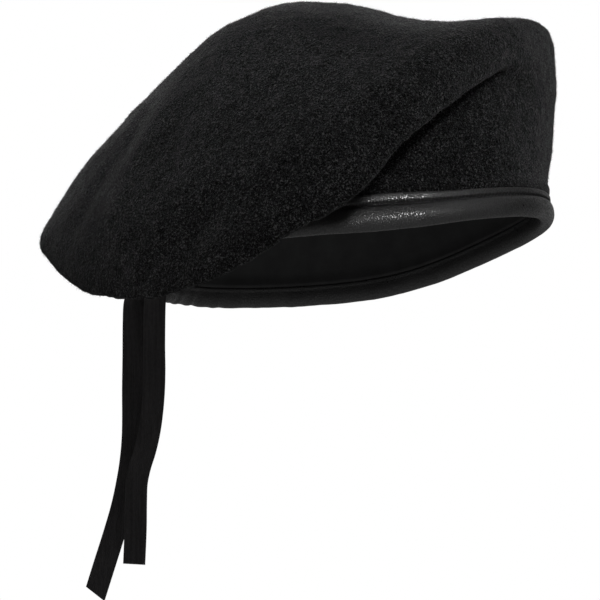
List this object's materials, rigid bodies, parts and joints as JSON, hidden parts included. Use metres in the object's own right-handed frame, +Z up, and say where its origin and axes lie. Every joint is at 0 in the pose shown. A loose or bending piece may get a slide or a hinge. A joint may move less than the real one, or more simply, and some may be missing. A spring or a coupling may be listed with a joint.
{
  "type": "military beret with leather rim binding and two tape ties",
  "caption": "Soft wool felt beret with an upright front, a crown pulled down to one side, a leather-bound head opening, a lining and hanging tape ties.",
  "frame": {"origin": "centre of the head opening, where the beret sits on the head", "axes": "+X to the wearer's left, -Y to the front, +Z up; the crown hangs to the wearer's right and back, and the tapes hang down from the back along -Z"},
  "size_m": [0.2303, 0.2747, 0.3096],
  "materials": {
    "felt": "dense black wool felt with a short raised nap, matt",
    "leather": "black grained leather, softly polished on the roll",
    "lining_cloth": "thin black plain-woven lining",
    "tape": "black ribbed woven tape"
  },
  "bodies": {
    "root": {"felt_body": "felt", "leather_binding": "leather", "lining": "lining_cloth", "tie_long": "tape", "tie_short": "tape"}
  },
  "joints": []
}
